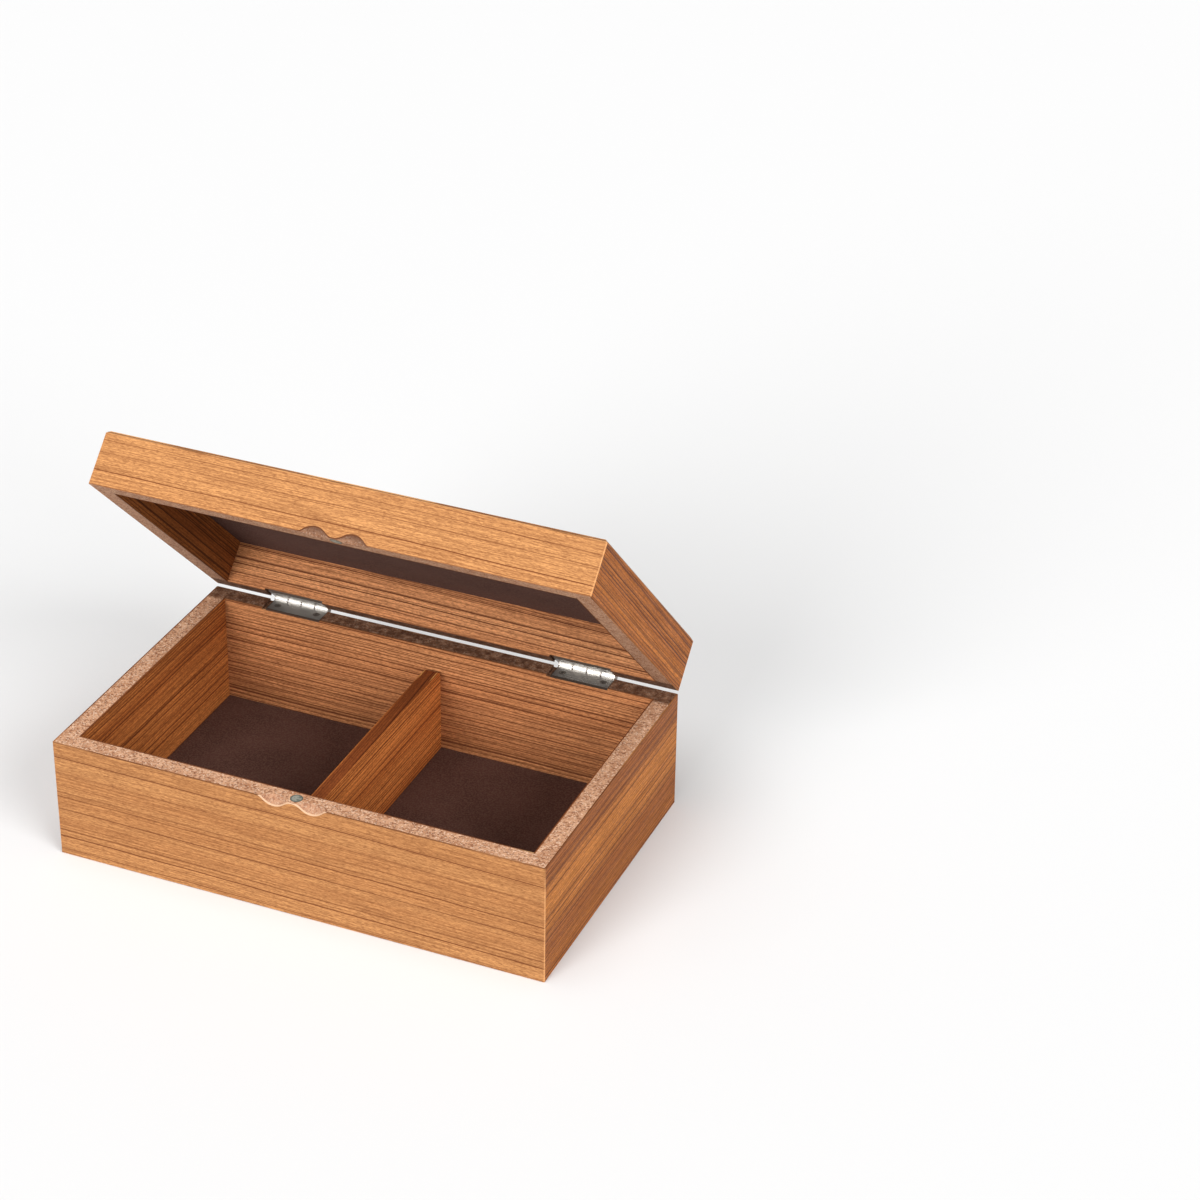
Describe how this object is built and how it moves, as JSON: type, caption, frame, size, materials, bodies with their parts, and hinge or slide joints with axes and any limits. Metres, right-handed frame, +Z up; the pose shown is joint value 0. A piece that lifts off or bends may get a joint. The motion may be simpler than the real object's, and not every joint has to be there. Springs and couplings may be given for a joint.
{
  "type": "wooden box",
  "caption": "Rectangular veneered wooden box with felt-lined compartments beside a low divider and a hinged lid with a finger notch.",
  "frame": {"origin": "middle of the underside of the box, on the surface that it stands on", "axes": "+X to the right along the front, +Y towards the hinges, +Z up"},
  "size_m": [0.21, 0.1484, 0.1625],
  "materials": {
    "outer_veneer": "open-grained striped brown veneer, satin lacquer",
    "inner_veneer": "the same veneer inside the box, thinly lacquered",
    "fibreboard": "bare sawn fibreboard, speckled and matt",
    "lining": "dark brown short-napped felt",
    "nickel": "bright nickel plate",
    "magnet": "plated disc magnet, slightly dull"
  },
  "bodies": {
    "box": {"body_front_core": "fibreboard", "body_back_core": "fibreboard", "body_left_core": "fibreboard", "body_right_core": "fibreboard", "base_core": "fibreboard", "body_front_veneer": "outer_veneer", "body_back_veneer": "outer_veneer", "body_left_veneer": "outer_veneer", "body_right_veneer": "outer_veneer", "base_veneer": "outer_veneer", "body_front_inner_veneer": "inner_veneer", "body_back_inner_veneer": "inner_veneer", "body_left_inner_veneer": "inner_veneer", "body_right_inner_veneer": "inner_veneer", "left_floor_lining": "lining", "right_floor_lining": "lining", "divider_core": "fibreboard", "divider_left_veneer": "inner_veneer", "divider_right_veneer": "inner_veneer", "divider_edge_veneer": "inner_veneer", "body_magnet": "magnet", "left_hinge_body_leaf": "nickel", "left_hinge_pin": "nickel", "left_hinge_body_screws": "nickel", "right_hinge_body_leaf": "nickel", "right_hinge_pin": "nickel", "right_hinge_body_screws": "nickel"},
    "lid": {"lid_front_core": "fibreboard", "lid_back_core": "fibreboard", "lid_left_core": "fibreboard", "lid_right_core": "fibreboard", "lid_top_core": "fibreboard", "lid_front_veneer": "outer_veneer", "lid_back_veneer": "outer_veneer", "lid_left_veneer": "outer_veneer", "lid_right_veneer": "outer_veneer", "lid_top_veneer": "outer_veneer", "lid_front_inner_veneer": "inner_veneer", "lid_back_inner_veneer": "inner_veneer", "lid_left_inner_veneer": "inner_veneer", "lid_right_inner_veneer": "inner_veneer", "lid_lining": "lining", "lid_magnet": "magnet", "left_hinge_lid_leaf": "nickel", "left_hinge_lid_screws": "nickel", "right_hinge_lid_leaf": "nickel", "right_hinge_lid_screws": "nickel"}
  },
  "joints": [
    {"name": "lid_hinge", "type": "hinge", "parent": "box", "child": "lid", "pos_m": [0, 0.0679, 0.0525], "axis": [-1, 0, 0], "range_deg": [-45, 135]}
  ]
}
